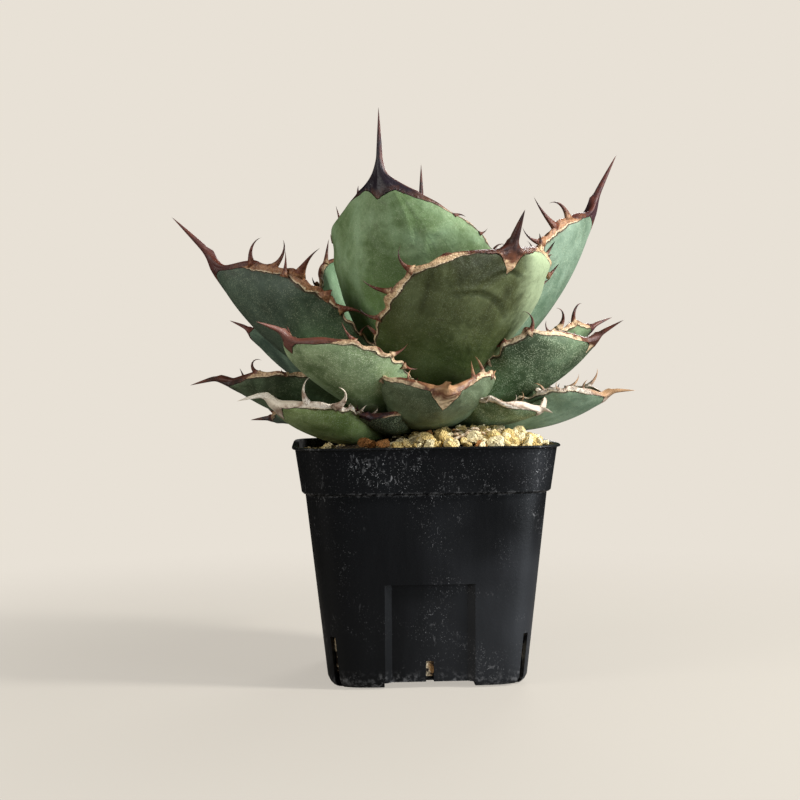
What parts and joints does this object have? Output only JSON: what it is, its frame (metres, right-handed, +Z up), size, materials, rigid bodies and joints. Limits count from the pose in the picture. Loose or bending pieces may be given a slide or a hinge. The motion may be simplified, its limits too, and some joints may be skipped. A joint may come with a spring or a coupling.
{
  "type": "potted agave",
  "caption": "Young agave rosette of thick, cupped, spine-tipped leaves with toothed margins, growing in a square black nursery pot topped with pumice gravel.",
  "frame": {"origin": "bottom centre of the whole object's box, on the surface that the pot stands on", "axes": "+Z up out of the pot; -Y towards the viewer, square to a flat side of the pot; +X to the viewer's right"},
  "size_m": [0.1876, 0.1544, 0.2219],
  "materials": {
    "pot_plastic": "black polypropylene, satin, scuffed, with pale mineral specks",
    "substrate": "damp peat and pumice potting mix",
    "pumice": "porous pale yellow-tan gravel, some grains orange-brown",
    "leaf_upper": "waxy grey-green leaf skin with brown corky margin and dark spines",
    "leaf_lower": "dark green leaf skin with fine pale speckle, tan corky margin and brown spines",
    "stem": "pale fibrous stem and roots",
    "dry_root": "dry papery brown"
  },
  "bodies": {
    "root": {"pot": "pot_plastic", "substrate": "substrate", "stem_with_roots": "stem", "leaf_01_centre_spear": "leaf_upper", "leaf_02_inner_back": "leaf_upper", "leaf_03_tall_front": "leaf_upper", "leaf_04_upper_right": "leaf_upper", "leaf_05_upper_left": "leaf_upper", "leaf_06_front_right": "leaf_upper", "leaf_07_upper_back": "leaf_upper", "leaf_08_front_left": "leaf_lower", "leaf_09_right": "leaf_lower", "leaf_10_back_left": "leaf_lower", "leaf_11_front": "leaf_lower", "leaf_12_back_right": "leaf_lower", "leaf_13_left": "leaf_lower", "leaf_14_front_right_low": "leaf_lower", "leaf_15_back": "leaf_lower", "leaf_16_small_front_left": "leaf_lower", "leaf_17_right_low": "leaf_lower", "leaf_18_back_left_low": "leaf_lower", "leaf_19_back_right_low": "leaf_lower", "leaf_20_front_left_low": "leaf_lower", "leaf_21_right_lowest": "leaf_lower", "dry_root_1": "dry_root", "dry_root_2": "dry_root", "pumice_01": "pumice", "pumice_02": "pumice", "pumice_03": "pumice", "pumice_04": "pumice", "pumice_05": "pumice", "pumice_06": "pumice", "pumice_07": "pumice", "pumice_08": "pumice", "pumice_09": "pumice", "pumice_10": "pumice", "pumice_11": "pumice", "pumice_12": "pumice", "pumice_13": "pumice", "pumice_14": "pumice", "gravel_bed": "pumice"}
  },
  "joints": []
}
